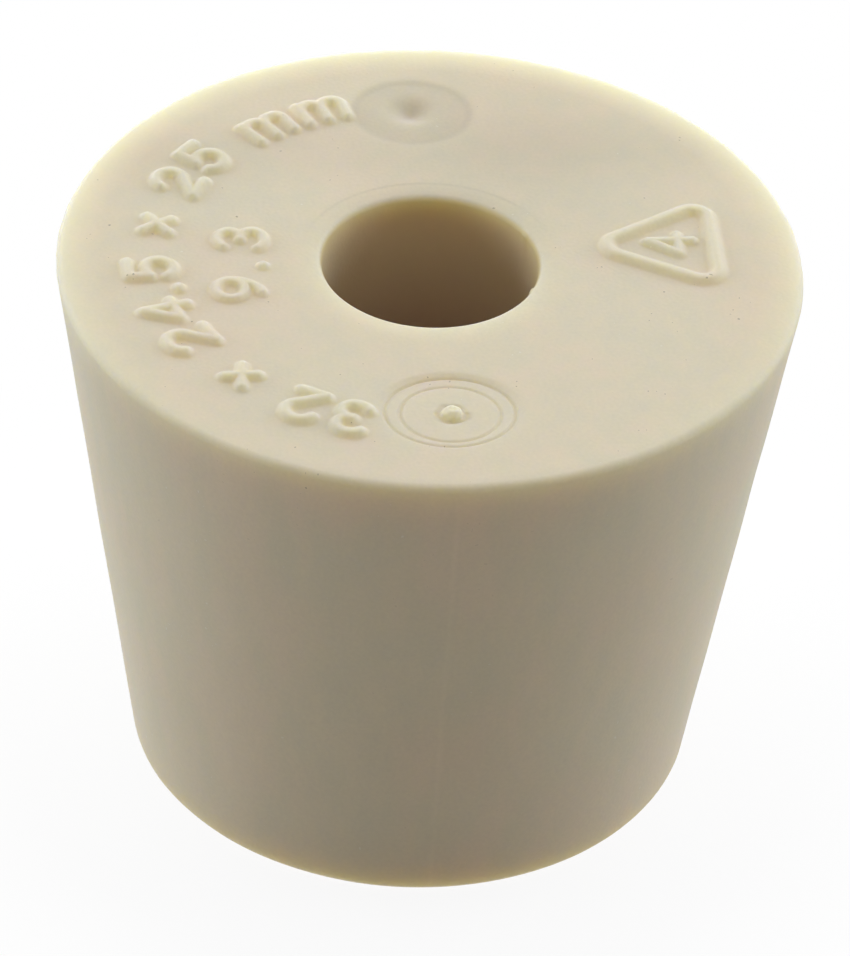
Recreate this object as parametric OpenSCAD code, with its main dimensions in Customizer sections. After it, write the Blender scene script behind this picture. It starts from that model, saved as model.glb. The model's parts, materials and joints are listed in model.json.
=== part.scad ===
// One-hole laboratory stopper, moulded in one piece from soft gum rubber.
// It stands on its small end. The origin is the centre of that end, and +Z runs
// up the bore to the large end. The two gate marks lie on the Y axis.

/* [Body] */
// Diameter of the large end, at the corner of the wall and the face
large_end_d = 32; // [28:0.5:40]
// Diameter of the small end, at the corner of the wall and the face
small_end_d = 24.5; // [20:0.5:27]
// Length from the small end to the large end
body_h = 25; // [15:0.5:40]
// Rounding of the rim at the large end
large_rim_r = 0.3; // [0.1:0.05:1]
// Rounding of the rim at the small end
small_rim_r = 0.5; // [0.1:0.05:1.5]

/* [Bore] */
// Diameter of the bore, which grips a tube or an airlock stem
bore_d = 9.3; // [4:0.1:12]
// Rounding of the bore's edge at each end
bore_rim_r = 0.15; // [0.05:0.05:0.3]
// Width of the shallow ring that the core pin's shoulder leaves round the bore
shoulder_w = 0.8; // [0.5:0.1:1.5]
// Depth of that ring below the large end's face
shoulder_depth = 0.06; // [0.02:0.01:0.2]

/* [Gate marks] */
// Diameter of the round recess at each moulding gate
pad_d = 5.2; // [4:0.1:6]
// Depth of the recess
pad_depth = 0.1; // [0.05:0.01:0.3]
// Width of the ledge between the edge of the recess and its deeper floor
ledge_w = 0.55; // [0.3:0.05:0.8]
// Depth of that floor below the ledge
floor_depth = 0.06; // [0.02:0.01:0.2]
// Distance from the edge of the recess to the rim of the large end
pad_rim_gap = 2.4; // [1.5:0.1:4]
// Diameter of the torn gate stub at its root
stub_d = 1; // [0.6:0.05:1.5]
// How much narrower the stub is at its tip
stub_taper = 0.25; // [0:0.05:0.3]
// Height of the stub above the floor it stands on
stub_h = 0.5; // [0.2:0.05:1]
// Rounding of the stub's tip
stub_rim_r = 0.12; // [0.05:0.01:0.15]
// Diameter of the torn pit at its mouth
pit_d = 2; // [1:0.1:2.2]
// Diameter of the pit at its bottom
pit_bottom_d = 0.5; // [0.2:0.1:0.9]
// Depth of the pit below the floor of the recess
pit_depth = 0.35; // [0.1:0.05:1]

/* [Hidden] */
$fn = 96;
// How far a cut runs past the face that it opens
cut_past = 1;
// How far a rounding's arc runs past the edges it blends, so that they cross cleanly
arc_overlap = 0.0002;
gum_colour = [0.85, 0.81, 0.73];

large_r = large_end_d / 2;
small_r = small_end_d / 2;
bore_r = bore_d / 2;
shoulder_r = bore_r + shoulder_w;
shoulder_z = body_h - shoulder_depth;
gate_y = large_r - pad_rim_gap - pad_d / 2;
pad_z = body_h - pad_depth;
floor_d = pad_d - 2 * ledge_w;
floor_z = pad_z - floor_depth;

function unit(v) = v / norm(v);

// What a rounding of radius r takes off the corner between two straight edges
module corner_waste(before, corner, after, r) {
    along_first = unit(before - corner);
    along_second = unit(after - corner);
    inward = unit(along_first + along_second);
    half_angle = acos(along_first * along_second) / 2;
    setback = r / tan(half_angle);
    centre = corner + inward * r / sin(half_angle);
    difference() {
        polygon([
            corner - inward * cut_past,
            corner + setback * along_first,
            centre,
            corner + setback * along_second
        ]);
        translate(centre) circle(r + arc_overlap);
    }
}

// A closed outline with the corners named in radii rounded, as [corner number, radius]
module rounded_outline(points, radii) {
    count = len(points);
    difference() {
        polygon(points);
        for (rounding = radii) {
            i = rounding[0];
            corner_waste(points[(i + count - 1) % count], points[i], points[(i + 1) % count], rounding[1]);
        }
    }
}

// Half of the stopper's section: the solid rubber between the bore and the tapered wall
module body_section() {
    rounded_outline(
        [
            [bore_r, 0],
            [small_r, 0],
            [large_r, body_h],
            [shoulder_r, body_h],
            [shoulder_r, shoulder_z],
            [bore_r, shoulder_z]
        ],
        [[0, bore_rim_r], [1, small_rim_r], [2, large_rim_r], [5, bore_rim_r]]
    );
}

// The two-step round recess that a gate leaves in the large end
module gate_recess() {
    translate([0, 0, pad_z]) cylinder(d = pad_d, h = pad_depth + cut_past);
    translate([0, 0, floor_z]) cylinder(d = floor_d, h = floor_depth + cut_past);
}

// The funnel where one gate tore out below the floor
module gate_pit() {
    translate([0, 0, floor_z - pit_depth]) cylinder(d1 = pit_bottom_d, d2 = pit_d, h = pit_depth);
}

// The stub of rubber where the other gate tore off above the floor
module gate_stub() {
    root_r = stub_d / 2;
    tip_r = (stub_d - stub_taper) / 2;
    translate([0, 0, floor_z]) rotate_extrude()
        rounded_outline([[0, 0], [root_r, 0], [tip_r, stub_h], [0, stub_h]], [[2, stub_rim_r]]);
}

module stopper() {
    color(gum_colour) {
        difference() {
            rotate_extrude() body_section();
            for (side = [-1, 1]) translate([0, side * gate_y, 0]) gate_recess();
            translate([0, gate_y, 0]) gate_pit();
        }
        translate([0, -gate_y, 0]) gate_stub();
    }
}

stopper();
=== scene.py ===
"""Looks of a one-hole rubber stopper: its moulded form, its gum rubber and a soft white studio."""

import json
import math

import bmesh
import bpy
from mathutils import Matrix, Vector, kdtree, noise


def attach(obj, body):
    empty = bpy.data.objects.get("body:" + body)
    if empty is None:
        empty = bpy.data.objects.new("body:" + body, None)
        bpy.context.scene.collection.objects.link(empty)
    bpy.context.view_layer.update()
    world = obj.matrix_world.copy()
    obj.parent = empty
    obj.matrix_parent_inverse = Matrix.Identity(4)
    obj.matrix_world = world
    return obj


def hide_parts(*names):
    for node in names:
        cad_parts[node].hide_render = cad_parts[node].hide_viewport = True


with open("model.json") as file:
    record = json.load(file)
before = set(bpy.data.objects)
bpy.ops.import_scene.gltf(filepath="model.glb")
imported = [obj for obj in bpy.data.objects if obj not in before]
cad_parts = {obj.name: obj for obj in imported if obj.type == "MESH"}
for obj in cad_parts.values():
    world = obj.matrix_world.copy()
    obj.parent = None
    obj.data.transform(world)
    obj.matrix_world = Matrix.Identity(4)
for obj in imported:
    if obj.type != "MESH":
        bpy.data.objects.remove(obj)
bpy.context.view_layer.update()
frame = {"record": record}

# The sizes below are in millimetres, and the frame is in metres
MM = 0.001

# Body, as in the solid
bore = next(mount for mount in frame["record"]["mounts"] if mount["name"] == "tube_bore")
BORE_R = bore["dims"]["r_mm"]
BODY_H = 2 * bore["pos_m"][2] / MM
LARGE_END_R = 16.0
SMALL_END_R = 12.25
LARGE_RIM_R = 0.3
SMALL_RIM_R = 0.5
BORE_RIM_R = 0.15

# The bore's mouth: a shallow funnel with a soft edge and two nicks. The nicks fade out over their span
FUNNEL_R = BORE_R + 0.95
FUNNEL_DEPTH = 0.1
MOUTH_RIM_R = 0.27
NICKS_DEG = (25, -27)
NICK_W = 0.16
NICK_DEPTH = 0.12
NICK_SPAN = (0.1, 0.5)

# How far the moulding swells in and out, and how close together its swells lie. The rim has finer ones
SWELL = 0.03
BODY_SWELL_SCALE = 0.22
RIM_SWELL_SCALE = 1.3
RIM_SWELL_SPAN = (0.2, 1.0)

# Front gate mark: two fine ring grooves, drawn slightly oval by the soft rubber, round a torn stub.
# A groove has its reach across, its reach along and its shift along
STUB_GATE_Y = -10.78
GROOVES = [(2.75, 2.4, 0.0), (2.1, 1.95, -0.12)]
GROOVE_W = 0.08
GROOVE_DEPTH = 0.065
PAD_DEPTH = 0.11
PAD_EDGE_W = 0.5
STUB_X = 0.08
STUB_Y = STUB_GATE_Y - 0.12
STUB_R = 0.45
STUB_H = 0.32
SIDE_TEAR = 0.09
TOP_TEAR = 0.135
TEAR_SCALE = 3.2
TEAR_SEED = 2
MOAT_R = 0.58
MOAT_W = 0.14
MOAT_DEPTH = 0.11

# Back gate mark: a shallow dish, slightly oval, and a torn dent near its middle
DISH_Y = 10.92
DISH_R = 2.6
DISH_STRETCH = 1.1
DISH_DEPTH = 0.05
DISH_EDGE_W = 0.3
PIT_GATE_Y = 11.15
PIT_R = 1.7
PIT_DEPTH = 0.38

# Spacing of the mesh: coarse on plain faces, finer where the large end carries relief
SEGMENTS = 192
TOP_STEP = 0.36
WALL_STEP = 0.7
BORE_STEP = 1.0
RIM_STEPS = 4
RELIEF_CUTS = 4
GROOVE_CUTS = 2
RELIEF_MARGIN = 0.3
SAME_PLACE = 0.001

# Where the mesh is finer at the front gate mark, as shares of a groove's reach
GATE_SHARE = 1.2
STUB_SHARE = 0.4
GROOVE_SHARE = 0.08

# Raised marks: height and half width of their rounded strokes
SIZES_RELIEF = (0.27, 0.43)
NUMERAL_RELIEF = (0.24, 0.37)
SIGN_RELIEF = (0.27, 0.5)
STROKE_CROWN = 0.12
STROKE_SPACING = 0.03

# The sizes of the stopper, raised in an arc that reads clockwise along the rim
SIZES_TEXT = "32 x 24.5 x 25 mm"
SIZES_START_DEG = -107
SIZES_BASE_R = 11.0
SIZES_H = 1.95
SIZES_GAP = 0.87
SIZES_SPACE = 1.3

# The width of the bore, raised between the bore and the arc
BORE_TEXT = "9.3"
BORE_TEXT_X = -8.16
BORE_TEXT_Y = -0.32
BORE_TEXT_H = 2.0
BORE_TEXT_GAP = 1.16
BORE_TEXT_UP_DEG = 176

# The mould's number in a plain triangle, its apex towards the bore
SIGN_X = 10.48
SIGN_Y = 0.74
SIGN_R = 3.52
SIGN_CORNER_R = 0.7
SIGN_UP_DEG = 181
SIGN_NUMERAL = "4"
SIGN_NUMERAL_X = SIGN_X - 0.12
SIGN_NUMERAL_H = 1.95


def arc_points(centre, reach_x, reach_y, start_deg, end_deg, count=24):
    """Points along an arc of an ellipse."""
    angles = [math.radians(start_deg + (end_deg - start_deg) * i / count) for i in range(count + 1)]
    return [Vector((centre[0] + reach_x * math.cos(a), centre[1] + reach_y * math.sin(a))) for a in angles]


def path(*corners):
    """A stroke that runs straight from corner to corner."""
    return [Vector(corner) for corner in corners]


# Strokes of each character on a height of 1, with its width
GLYPHS = {
    "2": (0.66, [arc_points((0.33, 0.7), 0.31, 0.3, 165, -35) + path((0, 0), (0.66, 0))]),
    "3": (0.66, [
        arc_points((0.32, 0.75), 0.29, 0.25, 150, -90),
        arc_points((0.32, 0.26), 0.33, 0.26, 90, -150),
    ]),
    "4": (0.7, [path((0.48, 0), (0.48, 1), (0, 0.32), (0.7, 0.32))]),
    "5": (0.65, [
        path((0.6, 1), (0.1, 1), (0.06, 0.52)) + arc_points((0.32, 0.32), 0.33, 0.32, 142, -150),
    ]),
    "9": (0.66, [
        arc_points((0.33, 0.69), 0.32, 0.31, 0, 360),
        arc_points((0.14, 0.66), 0.51, 0.66, 0, -75),
    ]),
    "x": (0.5, [path((0, 0.15), (0.5, 0.7)), path((0, 0.7), (0.5, 0.15))]),
    "m": (1.0, [
        path((0, 0), (0, 0.68)),
        arc_points((0.25, 0.42), 0.25, 0.26, 180, 0) + path((0.5, 0)),
        arc_points((0.75, 0.42), 0.25, 0.26, 180, 0) + path((1.0, 0)),
    ]),
    ".": (0.0, [path((0, 0), (0, 0.02))]),
}


def sampled(stroke):
    """Points along a stroke, close enough together to measure distances from."""
    points = [stroke[0]]
    for start, end in zip(stroke, stroke[1:]):
        count = max(1, math.ceil((end - start).length / STROKE_SPACING))
        points += [start.lerp(end, (i + 1) / count) for i in range(count)]
    return points


def stroke_field(points):
    """A search tree of stroke points on the large end."""
    tree = kdtree.KDTree(len(points))
    for index, point in enumerate(points):
        tree.insert((point.x, point.y, 0), index)
    tree.balance()
    return tree


def bearing(degrees):
    """A unit vector that points the given degrees anticlockwise from +X."""
    return Vector((math.cos(math.radians(degrees)), math.sin(math.radians(degrees))))


def turned(point, up_deg):
    """A mark's own point, turned so that its upward side faces up_deg on the large end."""
    up = bearing(up_deg)
    right = Vector((up.y, -up.x))
    return right * point.x + up * point.y


def sizes_points():
    """Stroke points of the sizes, bent round the axis with their tops towards the rim."""
    points = []
    along = 0.0
    middle_r = SIZES_BASE_R + SIZES_H / 2
    for character in SIZES_TEXT:
        if character == " ":
            along += SIZES_SPACE
            continue
        width, strokes = GLYPHS[character]
        for stroke in strokes:
            for point in sampled([corner * SIZES_H for corner in stroke]):
                angle = math.radians(SIZES_START_DEG) - (along + point.x) / middle_r
                radius = SIZES_BASE_R + point.y
                points.append(Vector((radius * math.cos(angle), radius * math.sin(angle))))
        along += width * SIZES_H + SIZES_GAP
    return points


def line_points(text, height, gap, x, y, up_deg):
    """Stroke points of a straight line of characters, centred on a place of the large end."""
    place = Vector((x, y))
    length = sum(GLYPHS[character][0] * height for character in text) + gap * (len(text) - 1)
    start = -length / 2
    points = []
    for character in text:
        width, strokes = GLYPHS[character]
        for stroke in strokes:
            corners = [Vector((start + corner.x * height, (corner.y - 0.5) * height)) for corner in stroke]
            points += [place + turned(point, up_deg) for point in sampled(corners)]
        start += width * height + gap
    return points


def sign_points():
    """Stroke points of the triangle, with its corners rounded."""
    place = Vector((SIGN_X, SIGN_Y))
    stroke = []
    for tip_deg in (90, 210, 330):
        centre = bearing(tip_deg) * (SIGN_R - 2 * SIGN_CORNER_R)
        stroke += arc_points(centre, SIGN_CORNER_R, SIGN_CORNER_R, tip_deg - 60, tip_deg + 60)
    stroke.append(stroke[0])
    return [place + turned(point, SIGN_UP_DEG) for point in sampled(stroke)]


bore_text = line_points(BORE_TEXT, BORE_TEXT_H, BORE_TEXT_GAP, BORE_TEXT_X, BORE_TEXT_Y, BORE_TEXT_UP_DEG)
sign_numeral = line_points(SIGN_NUMERAL, SIGN_NUMERAL_H, 0, SIGN_NUMERAL_X, SIGN_Y, SIGN_UP_DEG)
RAISED = [
    (stroke_field(sizes_points()), SIZES_RELIEF),
    (stroke_field(bore_text), NUMERAL_RELIEF),
    (stroke_field(sign_numeral), NUMERAL_RELIEF),
    (stroke_field(sign_points()), SIGN_RELIEF),
]


def ease(low, high, value):
    """A smooth step from 0 at low to 1 at high."""
    t = min(1.0, max(0.0, (value - low) / (high - low)))
    return t * t * (3 - 2 * t)


def bell(offset, width):
    """A smooth hump that is 1 at no offset and dies out past its width."""
    return math.exp(-((offset / width) ** 2))


def raised_height(x, y):
    """Height of the raised marks above the large end."""
    height = 0.0
    for field, (full, half_width) in RAISED:
        distance = field.find((x, y, 0))[2]
        height = max(height, full * (1 - ease(STROKE_CROWN * half_width, half_width, distance)))
    return height


def groove_reach(x, y, groove):
    """Distance from the middle of a ring groove, as a share of the groove's own reach."""
    reach_x, reach_y, shift_y = groove
    return math.hypot(x / reach_x, (y - STUB_GATE_Y - shift_y) / reach_y)


def stub_gate_height(x, y):
    """Height of the front gate mark: a pad that sinks towards the back, its grooves and the torn stub."""
    pad_x, pad_y, shift_y = GROOVES[0]
    tilt = ease(-pad_y, pad_y, y - STUB_GATE_Y)
    outer = groove_reach(x, y, GROOVES[0]) * pad_x
    height = -PAD_DEPTH * tilt * (1 - ease(pad_x, pad_x + PAD_EDGE_W, outer))
    for groove in GROOVES:
        across = (groove_reach(x, y, groove) - 1) * groove[0]
        height -= GROOVE_DEPTH * bell(across, GROOVE_W)
    tear = noise.noise(Vector((x, y, TEAR_SEED)) * TEAR_SCALE)
    reach = math.hypot(x - STUB_X, y - STUB_Y) + SIDE_TEAR * tear
    height -= MOAT_DEPTH * bell(reach - MOAT_R, MOAT_W)
    return height + (STUB_H + TOP_TEAR * tear) * math.sqrt(max(0.0, 1 - (reach / STUB_R) ** 2))


def dish_reach(x, y):
    """Distance from the middle of the back gate's dish, which is slightly oval."""
    return math.hypot(x, (y - DISH_Y) * DISH_STRETCH)


def pit_gate_height(x, y):
    """Height of the back gate mark: a shallow dish, and a dent that deepens to its middle."""
    dish = 1 - ease(DISH_R - DISH_EDGE_W, DISH_R + DISH_EDGE_W, dish_reach(x, y))
    dent = 1 - ease(0.0, PIT_R, math.hypot(x, y - PIT_GATE_Y))
    return -DISH_DEPTH * dish - PIT_DEPTH * dent ** 2


def near_relief(x, y):
    """Whether a place of the large end lies on a mark or close beside one."""
    if groove_reach(x, y, GROOVES[0]) < GATE_SHARE or dish_reach(x, y) < DISH_R + RELIEF_MARGIN:
        return True
    return any(
        field.find((x, y, 0))[2] < half_width + RELIEF_MARGIN
        for field, (full, half_width) in RAISED
    )


def near_groove(x, y):
    """Whether a place of the large end lies on a ring groove of the front gate mark or on its stub."""
    shares = [groove_reach(x, y, groove) for groove in GROOVES]
    return min(shares) < STUB_SHARE or any(abs(share - 1) < GROOVE_SHARE for share in shares)


def rounded_outline(corners):
    """Points of a closed section, anticlockwise. A corner has its place, its rounding and the next step."""
    arcs = []
    count = len(corners)
    for i, (corner, radius, step) in enumerate(corners):
        here = Vector(corner)
        back = (Vector(corners[i - 1][0]) - here).normalized()
        ahead = (Vector(corners[(i + 1) % count][0]) - here).normalized()
        half_angle = back.angle(ahead) / 2
        centre = here + (back + ahead).normalized() * radius / math.sin(half_angle)
        first = here + back * radius / math.tan(half_angle) - centre
        start_deg = math.degrees(math.atan2(first.y, first.x))
        sweep_deg = 180 - math.degrees(2 * half_angle)
        arc = arc_points(centre, radius, radius, start_deg, start_deg + sweep_deg, RIM_STEPS)
        arcs.append(arc if radius else [here])
    points = []
    for arc, next_arc, (corner, radius, step) in zip(arcs, arcs[1:] + arcs[:1], corners):
        start = arc[-1]
        end = next_arc[0]
        rows = max(1, round((end - start).length / step))
        points += arc + [start.lerp(end, k / rows) for k in range(1, rows)]
    return points


def stopper_mesh():
    """The whole moulding as one closed skin: a spun section, with the marks raised or sunk in its end."""
    section = rounded_outline([
        ((BORE_R, 0), BORE_RIM_R, BORE_STEP),
        ((SMALL_END_R, 0), SMALL_RIM_R, WALL_STEP),
        ((LARGE_END_R, BODY_H), LARGE_RIM_R, TOP_STEP),
        ((FUNNEL_R, BODY_H), 0, TOP_STEP),
        ((BORE_R, BODY_H - FUNNEL_DEPTH), MOUTH_RIM_R, BORE_STEP),
    ])
    mesh = bmesh.new()
    verts = [mesh.verts.new((point.x, 0, point.y)) for point in section]
    edges = [mesh.edges.new((verts[i - 1], verts[i])) for i in range(len(verts))]
    bmesh.ops.spin(
        mesh,
        geom=verts + edges,
        cent=(0, 0, 0),
        axis=(0, 0, 1),
        angle=2 * math.pi,
        steps=SEGMENTS,
        use_merge=True,
    )
    bmesh.ops.remove_doubles(mesh, verts=mesh.verts[:], dist=SAME_PLACE)
    bmesh.ops.recalc_face_normals(mesh, faces=mesh.faces[:])
    refine_large_end(mesh, near_relief, RELIEF_CUTS)
    refine_large_end(mesh, near_groove, GROOVE_CUTS)
    raise_large_end(mesh)
    roughen_moulding(mesh)
    bmesh.ops.scale(mesh, vec=(MM, MM, MM), verts=mesh.verts[:])
    return mesh


def on_large_end(vert):
    """Whether a point lies on the flat of the large end."""
    return abs(vert.co.z - BODY_H) < SAME_PLACE


def refine_large_end(mesh, near_mark, cuts):
    """Divides the faces of the large end that a mark comes near."""
    marked = []
    for face in mesh.faces:
        centre = face.calc_center_median()
        if all(on_large_end(vert) for vert in face.verts) and near_mark(centre.x, centre.y):
            marked.append(face)
    edges = list({edge for face in marked for edge in face.edges})
    bmesh.ops.subdivide_edges(mesh, edges=edges, cuts=cuts, use_grid_fill=True)


def raise_large_end(mesh):
    """Lifts the raised marks and sinks the gate marks."""
    for vert in mesh.verts:
        if on_large_end(vert):
            gate_height = pit_gate_height if vert.co.y > 0 else stub_gate_height
            vert.co.z += raised_height(vert.co.x, vert.co.y) + gate_height(vert.co.x, vert.co.y)


def roughen_moulding(mesh):
    """Makes the rubber slightly uneven, as it leaves the mould, and leaves nicks in the bore's edge."""
    for vert in mesh.verts:
        radius = math.hypot(vert.co.x, vert.co.y)
        angle = math.degrees(math.atan2(vert.co.y, vert.co.x))
        outward = Vector((vert.co.x, vert.co.y, 0)).normalized()
        swell = SWELL * noise.noise(vert.co * BODY_SWELL_SCALE)
        rim_gap = math.hypot(radius - LARGE_END_R, vert.co.z - BODY_H)
        swell += SWELL * noise.noise(vert.co * RIM_SWELL_SCALE) * (1 - ease(*RIM_SWELL_SPAN, rim_gap))
        mouth_gap = math.hypot(radius - BORE_R, vert.co.z - BODY_H)
        for nick_deg in NICKS_DEG:
            across = math.radians(angle - nick_deg) * BORE_R
            swell -= NICK_DEPTH * bell(across, NICK_W) * (1 - ease(*NICK_SPAN, mouth_gap))
        vert.co += outward * swell


class Wire:
    """A node's output that takes part in arithmetic: each operation adds a Math node."""

    def __init__(self, finish, socket):
        self.finish = finish
        self.socket = socket

    def math(self, operation, *values):
        """Adds a Math node."""
        return self.finish.add("ShaderNodeMath", {"operation": operation}, dict(enumerate(values)))

    def __add__(self, other):
        return self.math("ADD", self, other)

    def __sub__(self, other):
        return self.math("SUBTRACT", self, other)

    def __mul__(self, other):
        return self.math("MULTIPLY", self, other)

    def __abs__(self):
        return self.math("ABSOLUTE", self)

    def __lt__(self, other):
        return self.math("LESS_THAN", self, other)

    def __gt__(self, other):
        return self.math("GREATER_THAN", self, other)

    def __radd__(self, other):
        return self.math("ADD", other, self)

    def __rsub__(self, other):
        return self.math("SUBTRACT", other, self)

    def __rmul__(self, other):
        return self.math("MULTIPLY", other, self)


class Finish:
    """A node tree that is written as expressions."""

    def __init__(self, tree):
        self.tree = tree
        self.tree.nodes.clear()

    def add(self, kind, settings=None, sockets=None, output=0):
        """Adds a node: its settings first, then the values or wires of its sockets."""
        node = self.tree.nodes.new(kind)
        for name, value in (settings or {}).items():
            if name == "stops":
                self.set_stops(node.color_ramp, value)
            else:
                setattr(node, name, value)
        for key, value in (sockets or {}).items():
            if isinstance(value, Wire):
                self.tree.links.new(value.socket, node.inputs[key])
            else:
                node.inputs[key].default_value = value
        return Wire(self, node.outputs[output]) if node.outputs else None

    def set_stops(self, ramp, stops):
        """Gives a colour ramp its stops."""
        for position, colour in stops[1:-1]:
            ramp.elements.new(position)
        for element, (position, colour) in zip(ramp.elements, stops):
            element.position = position
            element.color = colour

    def mix(self, factor, first, second, blend="MIX"):
        """Mixes two colours."""
        settings = {"data_type": "RGBA", "blend_type": blend}
        return self.add("ShaderNodeMix", settings, {0: factor, 6: first, 7: second}, output=2)

    def noise(self, vector, scale, detail=0.0, roughness=0.5):
        """A noise value between 0 and 1."""
        sockets = {"Vector": vector, "Scale": scale, "Detail": detail, "Roughness": roughness}
        return self.add("ShaderNodeTexNoise", None, sockets)

    def fade(self, value, span, low=0.0, high=1.0):
        """A value that runs from low at the start of a span to high at its end, and stays so beyond."""
        start, end = span
        return self.add("ShaderNodeMapRange", None, {0: value, 1: start, 2: end, 3: low, 4: high})

    def scaled(self, place, scale):
        """A place with each of its axes scaled."""
        return self.add("ShaderNodeMapping", None, {"Vector": place, "Scale": scale})

    def distance(self, place, middle=(0, 0, 0)):
        """How far a place lies from a middle."""
        return self.add("ShaderNodeVectorMath", {"operation": "DISTANCE"}, {0: place, 1: middle}, "Value")


def rgb(red, green, blue):
    """A colour as a screen shows it, 0 to 255, made linear."""
    return (*(((c / 255 + 0.055) / 1.055) ** 2.4 for c in (red, green, blue)), 1)


GUM_GREY = rgb(217, 207, 181)
GUM = rgb(219, 207, 180)
GUM_PINK = rgb(221, 206, 180)
# Painted light and shade in the bore: an olive glow at the back of its mouth, painted shade at its sides and
# brown painted shade deeper in
BORE_GLOW_OLIVE = rgb(224, 208, 166)
BORE_SIDE_SHADE = rgb(204, 184, 136)
BORE_DEPTH_SHADE = rgb(199, 175, 154)
# Painted glow along the rim of the large end, strongest at the back
RIM_GLOW_PALE = rgb(242, 235, 208)
SPECK_DARK = rgb(84, 72, 58)
SPECK_PALE = rgb(240, 236, 226)

# How far below its face the large end's specks and painted shade band reach, and where the mould seam ends
END_DEPTH = 1.0

# How close together the noises of the rubber lie, how far its flow draws the middle one out,
# and how much two of them shade it
CLOUD_SCALE = 0.16
MOTTLE_SCALE = 0.75
GRAIN_SCALE = 6.0
DRAWN_OUT = (1, 1, 0.25)
UNEVEN = 0.06

# Darker and paler places, most of them painted shade or a painted glow: how much each differs, as a share,
# and the span over which it fades in.
# The spans are distances from the place itself, and those of a side run from front to back
# Darker in the back gate's dish, and darker still along its edge
DISH_DARKER = 0.08
DISH_DARKER_SPAN = (DISH_R + 0.15, DISH_R - 0.15)
DISH_EDGE_DARKER = 0.05
DISH_EDGE_DARKER_SPAN = (0.35, 0.0)
# Painted shade on the large end behind the bore
BACK_SHADE = 0.09
BACK_SHADE_PLACE = (4.5, 7.5, BODY_H)
BACK_SHADE_SPAN = (8.5, 2.0)
# Painted shadow band across the large end, behind the bore
SHADE_BAND = 0.055
SHADE_BAND_Y = 8.0
SHADE_BAND_SPAN = (3.0, 0.5)
# Painted shade in the crease at the funnel's edge, round the back of the bore's mouth
CREASE_SHADE = 0.16
CREASE_SHADE_R = BORE_R + 0.9
CREASE_SHADE_SPAN = (0.12, 0.0)
CREASE_SHADE_SIDE_SPAN = (1.5, 4.5)
SEAM = 0.05
SEAM_SPAN = (0.18, 0.0)
# Painted glow along the large end's rim, weakest at the front
RIM_GLOW = 0.68
RIM_GLOW_SPAN = (1.9, 0.0)
RIM_GLOW_FRONT_SHARE = 0.1
RIM_GLOW_SIDE_SPAN = (-8, 13)

# The bore's painted light and shade: where it begins, how its painted glow at the back turns to painted
# shade at the sides, and how painted shade browns it inward
BORE_PAINT_SPAN = (BORE_R + 0.12, BORE_R + 0.02)
BORE_SIDE_SHADE_SPAN = (4.2, 0.5)
BORE_DEPTH_SHADE_SPAN = (BODY_H, BODY_H - 8)

# Specks: where the noises let them show, and how plain they are
DIRT_GRAIN = 0.79
DIRT_MOTTLE = 0.66
DIRT_ON_WALL = 0.12
DIRT_ON_END = 0.45
DUST_GRAIN = 0.2
DUST_MOTTLE = 0.35
DUST = 0.35

# How far light goes in the rubber, with the share of each colour, and the height of its grain
SCATTER_SHARE = 0.7
SCATTER_REACH = 3.0
SCATTER_COLOURS = (1.0, 0.87, 0.4)
GRAIN_H = 0.02


class Gum(Finish):
    """The rubber's node tree, with the places in millimetres and the noises that its colours share."""

    def __init__(self, tree):
        super().__init__(tree)
        in_metres = self.add("ShaderNodeTexCoord", output="Object")
        self.place = self.scaled(in_metres, (1 / MM, 1 / MM, 1 / MM))
        self.across, self.along, self.height = (
            self.add("ShaderNodeSeparateXYZ", None, {0: self.place}, axis) for axis in "XYZ"
        )
        self.from_axis = self.distance(self.scaled(self.place, (1, 1, 0)))
        self.on_end = self.height > BODY_H - END_DEPTH
        self.cloud = self.noise(self.place, CLOUD_SCALE)
        self.mottle = self.noise(self.scaled(self.place, DRAWN_OUT), MOTTLE_SCALE, detail=1, roughness=0.6)
        self.grain = self.noise(self.place, GRAIN_SCALE)


def clouded(gum):
    """The gum's own colour: clouded, faintly streaked by its flow and finely grained."""
    ramp = {"stops": [(0.36, GUM_GREY), (0.5, GUM), (0.64, GUM_PINK)]}
    tint = gum.add("ShaderNodeValToRGB", ramp, {"Fac": (gum.cloud + gum.mottle) * 0.5})
    return gum.mix(1.0, tint, 1 + UNEVEN * (gum.mottle + gum.grain - 1), "MULTIPLY")


def painted_shade_and_seam(gum, colour):
    """Darker in the back gate's dish, painted shade behind the bore, across the back and in the crease round
    its mouth, and a pale mould seam.
    """
    dish_middle = (0, DISH_Y * DISH_STRETCH, BODY_H)
    from_dish = gum.distance(gum.scaled(gum.place, (1, DISH_STRETCH, 1)), dish_middle)
    dish_darkening = gum.fade(from_dish, DISH_DARKER_SPAN, high=DISH_DARKER)
    dish_edge_darkening = gum.fade(abs(from_dish - DISH_R), DISH_EDGE_DARKER_SPAN, high=DISH_EDGE_DARKER)
    # Painted shade behind the bore
    back_shade_patch = gum.fade(gum.distance(gum.place, BACK_SHADE_PLACE), BACK_SHADE_SPAN, high=BACK_SHADE)
    # Painted shadow band across the back of the large end
    shade_band = gum.fade(abs(gum.along - SHADE_BAND_Y), SHADE_BAND_SPAN, high=SHADE_BAND) * gum.on_end
    # Painted crease shade at the funnel's edge, only towards the back
    crease_shade_side = gum.fade(gum.along, CREASE_SHADE_SIDE_SPAN)
    crease_shade = gum.fade(abs(gum.from_axis - CREASE_SHADE_R), CREASE_SHADE_SPAN, high=CREASE_SHADE) * crease_shade_side * gum.mottle
    seam = gum.fade(abs(gum.across), SEAM_SPAN, high=SEAM) * gum.mottle * (1 - gum.on_end)
    # Painted shade and darker dish, with the pale mould seam
    shade_and_seam = (1 - dish_darkening - dish_edge_darkening - back_shade_patch) * (1 - shade_band) * (1 - crease_shade) * (1 + seam)
    return gum.mix(1.0, colour, shade_and_seam, "MULTIPLY")


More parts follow.
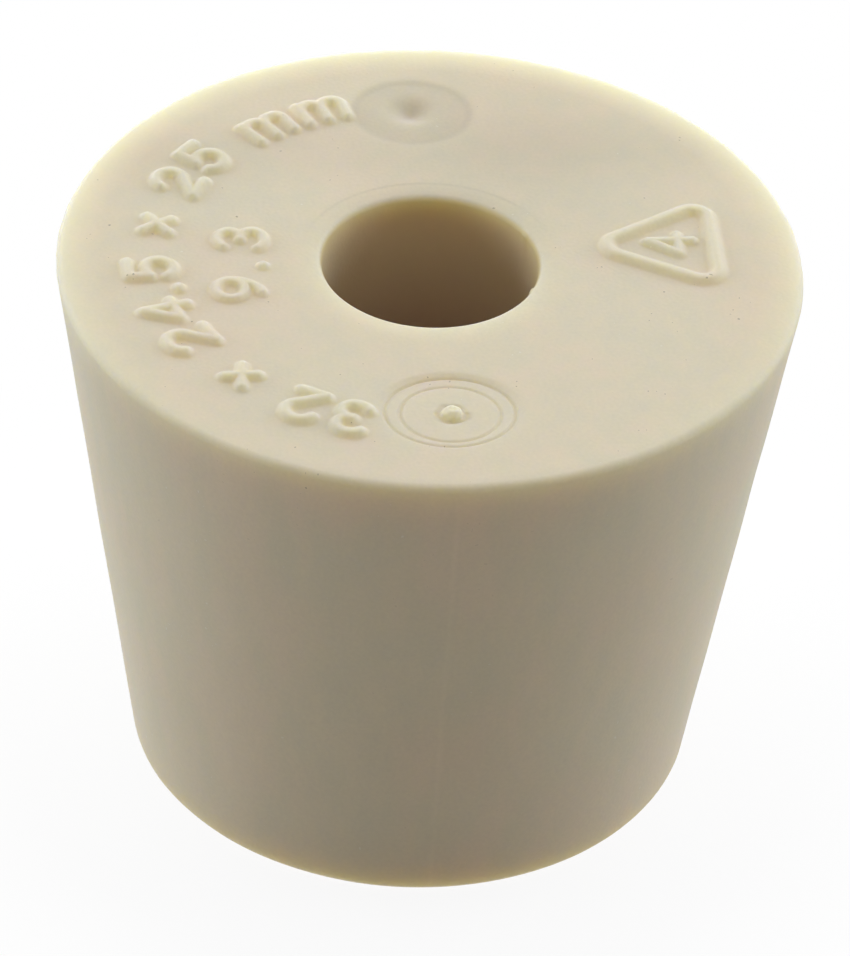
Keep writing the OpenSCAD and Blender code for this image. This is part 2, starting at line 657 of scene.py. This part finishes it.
def specked(gum, colour):
    """Specks of dirt, plainer on the large end, and of pale dust."""
    dirt = (gum.grain > DIRT_GRAIN) * (gum.mottle > DIRT_MOTTLE)
    dust = (gum.grain < DUST_GRAIN) * (gum.mottle < DUST_MOTTLE)
    plainness = DIRT_ON_WALL + (DIRT_ON_END - DIRT_ON_WALL) * gum.on_end
    return gum.mix(dust * DUST, gum.mix(dirt * plainness, colour, SPECK_DARK), SPECK_PALE)


def painted_rim_glow(gum, colour):
    """A paler painted glow along the rim of the large end, most of all at the back."""
    section_place = gum.add("ShaderNodeCombineXYZ", None, {"X": gum.from_axis, "Z": gum.height})
    rim_glow = gum.fade(gum.distance(section_place, (LARGE_END_R, 0, BODY_H)), RIM_GLOW_SPAN, high=RIM_GLOW)
    side = gum.fade(gum.along, RIM_GLOW_SIDE_SPAN, low=RIM_GLOW_FRONT_SHARE)
    return gum.mix(rim_glow * side, colour, RIM_GLOW_PALE)


def painted_bore_light(gum, colour):
    """Painted light and shade in the bore: an olive painted glow at the back of its mouth, painted shade at
    the sides and brown painted shade further in.
    """
    # Painted glow at the back of the mouth, painted shade at the sides and deeper in
    mouth_glow_and_side_shade = gum.mix(gum.fade(gum.along, BORE_SIDE_SHADE_SPAN), BORE_GLOW_OLIVE, BORE_SIDE_SHADE)
    bore_light_and_shade = gum.mix(gum.fade(gum.height, BORE_DEPTH_SHADE_SPAN), mouth_glow_and_side_shade, BORE_DEPTH_SHADE)
    return gum.mix(gum.fade(gum.from_axis, BORE_PAINT_SPAN), colour, bore_light_and_shade)


def gum_rubber():
    """Beige gum rubber with a satin moulded grain, which lets light in a little way."""
    material = bpy.data.materials.new("gum_rubber")
    material.use_nodes = True
    gum = Gum(material.node_tree)
    colour = clouded(gum)
    # The layers: a darker dish, painted shade and a pale mould seam; specks of dirt and dust; a painted rim
    # glow; painted light and shade in the bore
    for layer in (painted_shade_and_seam, specked, painted_rim_glow, painted_bore_light):
        colour = layer(gum, colour)
    bump = gum.add("ShaderNodeBump", None, {"Strength": 0.25, "Distance": GRAIN_H * MM, "Height": gum.grain})
    rubber = gum.add("ShaderNodeBsdfPrincipled", None, {
        "Base Color": colour,
        "Roughness": 0.6 + 0.12 * gum.mottle + 0.08 * gum.grain,
        "Normal": bump,
        "Specular IOR Level": 0.25,
        "Subsurface Weight": SCATTER_SHARE,
        "Subsurface Radius": SCATTER_COLOURS,
        "Subsurface Scale": SCATTER_REACH * MM,
    })
    gum.add("ShaderNodeOutputMaterial", None, {"Surface": rubber})
    return material


def make_object(name, mesh, material):
    """An object of the scene from a finished mesh."""
    data = bpy.data.meshes.new(name)
    mesh.to_mesh(data)
    mesh.free()
    data.materials.append(material)
    made = bpy.data.objects.new(name, data)
    bpy.context.scene.collection.objects.link(made)
    return made


def make_stopper():
    """The finished stopper, which stands for the plain solid."""
    mesh = stopper_mesh()
    for face in mesh.faces:
        face.smooth = True
    stopper = make_object("moulded_stopper", mesh, gum_rubber())
    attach(stopper, "root")
    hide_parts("stopper")


# Studio, in metres: a glowing white table, dark under the bore, in a white surround
FLOOR_SIZE = 3.0
TABLE_Z = -0.15 * MM
FOOT_R = SMALL_END_R * MM
DARK_R = (BORE_R + 2) * MM
SHADOW_SPAN = (18 * MM, 30 * MM)
SHADOW_WHITE = 0.9
AMBIENT = 0.05
WHITE = (1, 1, 1, 1)
BLACK = (0, 0, 0, 1)
TABLE_GREY = (0.3, 0.3, 0.3, 1)
TABLE_LIGHT = (0.225, 0.2093, 0.189, 1)
FOOT_LIGHT = (0.8075, 0.782, 0.935, 1)


def seen_directly(finish):
    """1 for rays that show the background itself, and 0 for rays that light the object."""
    camera_ray, glossy_ray, through_ray = (
        finish.add("ShaderNodeLightPath", output=f"Is {kind} Ray")
        for kind in ("Camera", "Glossy", "Transmission")
    )
    return (camera_ray + glossy_ray + through_ray) > 0.5


def white_table():
    """A table that glows under and around the stopper, is dark under its bore and looks white itself."""
    material = bpy.data.materials.new("white_table")
    material.use_nodes = True
    finish = Finish(material.node_tree)
    reach = finish.distance(finish.add("ShaderNodeTexCoord", output="Object"))
    past_bore = reach > DARK_R
    light = finish.mix(reach < FOOT_R, TABLE_LIGHT, FOOT_LIGHT)
    glow = finish.add("ShaderNodeEmission", None, {"Color": finish.mix(past_bore, BLACK, light)})
    matte = finish.add("ShaderNodeBsdfDiffuse", None, {"Color": TABLE_GREY})
    lighting = finish.add("ShaderNodeAddShader", None, {0: matte, 1: glow})
    shadowed = finish.add("ShaderNodeBsdfDiffuse", None, {"Color": WHITE})
    white = finish.add("ShaderNodeEmission", None, {"Color": WHITE})
    whiteness = finish.fade(reach, SHADOW_SPAN, low=SHADOW_WHITE) * past_bore
    pale = finish.add("ShaderNodeMixShader", None, {0: whiteness, 1: shadowed, 2: white})
    surface = finish.add("ShaderNodeMixShader", None, {0: seen_directly(finish), 1: lighting, 2: pale})
    finish.add("ShaderNodeOutputMaterial", None, {"Surface": surface})
    return material


def make_floor():
    """A white table that keeps the stopper's shadow."""
    mesh = bmesh.new()
    bmesh.ops.create_grid(mesh, x_segments=1, y_segments=1, size=FLOOR_SIZE / 2)
    floor = make_object("white_table", mesh, white_table())
    floor.location.z = TABLE_Z


def make_world():
    """A white surround that lights the object only a little."""
    world = bpy.data.worlds.new("white_surround")
    bpy.context.scene.world = world
    world.use_nodes = True
    finish = Finish(world.node_tree)
    seen = seen_directly(finish)
    strength = seen + (1 - seen) * AMBIENT
    surround = finish.add("ShaderNodeBackground", None, {"Color": WHITE, "Strength": strength})
    finish.add("ShaderNodeOutputWorld", None, {"Surface": surround})


def make_lamp(name, place, width, height, power, colour=(1, 1, 1)):
    """A soft lamp that faces the stopper, with its place and size in metres and its power in watts."""
    data = bpy.data.lights.new(name, "AREA")
    data.color = colour
    data.shape = "RECTANGLE"
    data.size = width
    data.size_y = height
    data.energy = power
    lamp = bpy.data.objects.new(name, data)
    lamp.location = place
    aim = Vector((0, 0, BODY_H * MM / 2)) - Vector(place)
    lamp.rotation_euler = aim.to_track_quat("-Z", "Y").to_euler()
    bpy.context.scene.collection.objects.link(lamp)


# Camera, in millimetres, set as the photograph was taken: a long lens from above the front
CAMERA_AZIMUTH_DEG = -6.1
CAMERA_ELEVATION_DEG = 37.6
CAMERA_ROLL_DEG = 2.88
CAMERA_DISTANCE = 329.8
CAMERA_LENS = 284.4
AIM_RIGHT = 0.262
AIM_UP = 0.543


def make_camera():
    """The camera at the photograph's angle."""
    azimuth = math.radians(CAMERA_AZIMUTH_DEG)
    elevation = math.radians(CAMERA_ELEVATION_DEG)
    roll = math.radians(CAMERA_ROLL_DEG)
    level_right = Vector((math.cos(azimuth), math.sin(azimuth), 0))
    backward = Vector((
        math.sin(azimuth) * math.cos(elevation),
        -math.cos(azimuth) * math.cos(elevation),
        math.sin(elevation),
    ))
    level_up = backward.cross(level_right)
    right = level_right * math.cos(roll) + level_up * math.sin(roll)
    up = backward.cross(right)
    aim = Vector((0, 0, BODY_H / 2)) + right * AIM_RIGHT + up * AIM_UP
    place = (aim + backward * CAMERA_DISTANCE) * MM
    data = bpy.data.cameras.new("camera")
    data.lens = CAMERA_LENS
    data.clip_start = 0.01
    camera = bpy.data.objects.new("camera", data)
    camera.matrix_world = Matrix.Translation(place) @ Matrix((right, up, backward)).transposed().to_4x4()
    bpy.context.scene.collection.objects.link(camera)
    bpy.context.scene.camera = camera


# Lamps are slightly tinted: cool from above and from the sides, warm from the front
OVERHEAD_TINT = (0.98, 1.0, 1.03)
FRONT_TINT = (1.0, 0.95, 0.93)
SIDE_TINT = (0.92, 1.0, 1.1)

make_camera()
make_stopper()
make_floor()
make_world()
make_lamp("overhead_lamp", (0, 0.24, 0.5), width=0.9, height=0.9, power=3.8, colour=OVERHEAD_TINT)
make_lamp("front_lamp", (0.05, -0.5, 0.33), width=0.4, height=0.4, power=0.3, colour=FRONT_TINT)
make_lamp("back_lamp", (0, 0.45, 0.011), width=0.5, height=0.022, power=0.7)
make_lamp("left_lamp", (-0.43, 0.15, 0.1), width=0.35, height=0.25, power=1.3, colour=SIDE_TINT)
make_lamp("right_lamp", (0.43, 0.13, 0.14), width=0.35, height=0.25, power=1.25, colour=SIDE_TINT)
bpy.context.scene.view_settings.view_transform = "Standard"
